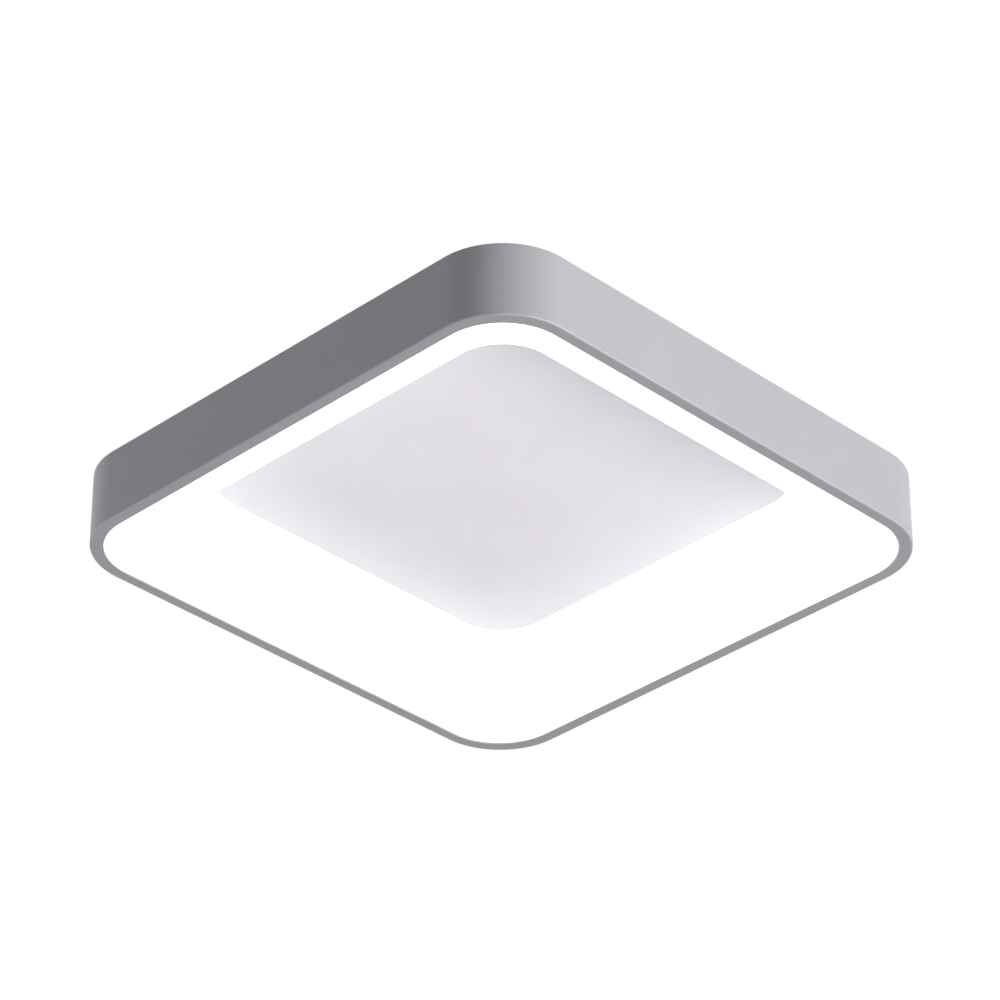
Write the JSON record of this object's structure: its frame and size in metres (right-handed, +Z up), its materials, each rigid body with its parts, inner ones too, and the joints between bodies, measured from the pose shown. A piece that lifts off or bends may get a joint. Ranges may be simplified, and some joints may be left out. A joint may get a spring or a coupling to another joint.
{
  "type": "flush mount ceiling light",
  "caption": "Square flush mount ceiling light with a low rounded metal frame, an opal diffuser with slanted walls round a square recess, and a white centre plate.",
  "frame": {"origin": "centre of the face that rests on the ceiling", "axes": "+Z points up to the ceiling, X and Y run along the sides of the square frame"},
  "size_m": [0.5, 0.5, 0.065],
  "materials": {
    "frame_paint": "satin",
    "chassis_paint": "satin",
    "plate_paint": "satin",
    "bracket_steel": "satin",
    "opal_plastic": "satin",
    "clear_plastic": "gloss",
    "board_coating": "satin",
    "chip_package": "gloss",
    "plug_nylon": "matte",
    "driver_plastic": "matte",
    "laminate": "satin",
    "port_plastic": "matte",
    "ferrite": "matte",
    "copper_winding": "gloss",
    "can_sleeve": "satin",
    "terminal_plastic": "satin",
    "lever_plastic": "satin",
    "strip_copper": "satin",
    "screw_steel": "satin",
    "tinned_metal": "satin",
    "cup_steel": "satin",
    "magnet": "satin",
    "spring_steel": "satin",
    "black_rubber": "matte",
    "tape": "matte",
    "brown_insulation": "satin",
    "blue_insulation": "satin",
    "green_insulation": "satin",
    "white_insulation": "satin"
  },
  "bodies": {
    "root": {"chassis_plate": "chassis_paint", "edge_strips": "chassis_paint", "cable_grommet": "black_rubber", "earth_terminal": "tinned_metal", "earth_washer": "tinned_metal", "earth_screw": "screw_steel", "led_board_1": "board_coating", "led_board_2": "board_coating", "led_board_3": "board_coating", "led_board_4": "board_coating", "led_chips": "chip_package", "led_lenses_1": "clear_plastic", "led_lenses_2": "clear_plastic", "led_lenses_3": "clear_plastic", "led_lenses_4": "clear_plastic", "board_screws": "screw_steel", "board_connectors": "plug_nylon", "driver_base": "driver_plastic", "driver_cover": "driver_plastic", "driver_screws": "screw_steel", "driver_circuit_board": "laminate", "driver_terminals": "port_plastic", "driver_transformer": "ferrite", "driver_winding": "copper_winding", "driver_capacitors": "can_sleeve", "driver_choke": "copper_winding", "terminal_body": "terminal_plastic", "terminal_clamps": "strip_copper", "terminal_screws": "screw_steel", "live_wire": "brown_insulation", "neutral_wire": "blue_insulation", "earth_wire": "green_insulation", "led_feed_wires": "white_insulation", "jumper_wires_1": "white_insulation", "jumper_wires_2": "white_insulation", "jumper_wires_3": "white_insulation", "bonding_tape": "tape", "centre_plate": "plate_paint"},
    "shade": {"frame_ring": "frame_paint", "frame_joint_plate": "bracket_steel", "corner_brackets": "bracket_steel", "magnet_cups": "cup_steel", "magnet_rings": "magnet", "magnet_screws": "screw_steel", "diffuser": "opal_plastic", "clip_brackets": "bracket_steel", "clip_rivets": "screw_steel"},
    "lever_1": {"terminal_lever_1": "lever_plastic"},
    "lever_2": {"terminal_lever_2": "lever_plastic"},
    "lever_3": {"terminal_lever_3": "lever_plastic"},
    "clip_1": {"diffuser_clip_1": "spring_steel"},
    "clip_2": {"diffuser_clip_2": "spring_steel"},
    "clip_3": {"diffuser_clip_3": "spring_steel"},
    "clip_4": {"diffuser_clip_4": "spring_steel"},
    "clip_5": {"diffuser_clip_5": "spring_steel"},
    "clip_6": {"diffuser_clip_6": "spring_steel"},
    "clip_7": {"diffuser_clip_7": "spring_steel"},
    "clip_8": {"diffuser_clip_8": "spring_steel"}
  },
  "joints": [
    {"name": "shade_drop", "type": "slide", "parent": "root", "child": "shade", "axis": [0, 0, -1], "range_m": [0, 0.12]},
    {"name": "lever_1_swing", "type": "hinge", "parent": "root", "child": "lever_1", "pos_m": [0.218, -0.1284, -0.011], "axis": [-1, 0, 0], "range_deg": [0, 85]},
    {"name": "lever_2_swing", "type": "hinge", "parent": "root", "child": "lever_2", "pos_m": [0.226, -0.1284, -0.011], "axis": [-1, 0, 0], "range_deg": [0, 85]},
    {"name": "lever_3_swing", "type": "hinge", "parent": "root", "child": "lever_3", "pos_m": [0.234, -0.1284, -0.011], "axis": [-1, 0, 0], "range_deg": [0, 85]},
    {"name": "clip_1_turn", "type": "hinge", "parent": "shade", "child": "clip_1", "pos_m": [0.2442, -0.12, -0.06055], "axis": [0, 0, 1], "range_deg": [0, 180]},
    {"name": "clip_2_turn", "type": "hinge", "parent": "shade", "child": "clip_2", "pos_m": [0.2442, 0.12, -0.06055], "axis": [0, 0, 1], "range_deg": [0, 180]},
    {"name": "clip_3_turn", "type": "hinge", "parent": "shade", "child": "clip_3", "pos_m": [0.12, 0.2442, -0.06055], "axis": [0, 0, 1], "range_deg": [0, 180]},
    {"name": "clip_4_turn", "type": "hinge", "parent": "shade", "child": "clip_4", "pos_m": [-0.12, 0.2442, -0.06055], "axis": [0, 0, 1], "range_deg": [0, 180]},
    {"name": "clip_5_turn", "type": "hinge", "parent": "shade", "child": "clip_5", "pos_m": [-0.2442, 0.12, -0.06055], "axis": [0, 0, 1], "range_deg": [0, 180]},
    {"name": "clip_6_turn", "type": "hinge", "parent": "shade", "child": "clip_6", "pos_m": [-0.2442, -0.12, -0.06055], "axis": [0, 0, 1], "range_deg": [0, 180]},
    {"name": "clip_7_turn", "type": "hinge", "parent": "shade", "child": "clip_7", "pos_m": [-0.12, -0.2442, -0.06055], "axis": [0, 0, 1], "range_deg": [0, 180]},
    {"name": "clip_8_turn", "type": "hinge", "parent": "shade", "child": "clip_8", "pos_m": [0.12, -0.2442, -0.06055], "axis": [0, 0, 1], "range_deg": [0, 180]}
  ]
}
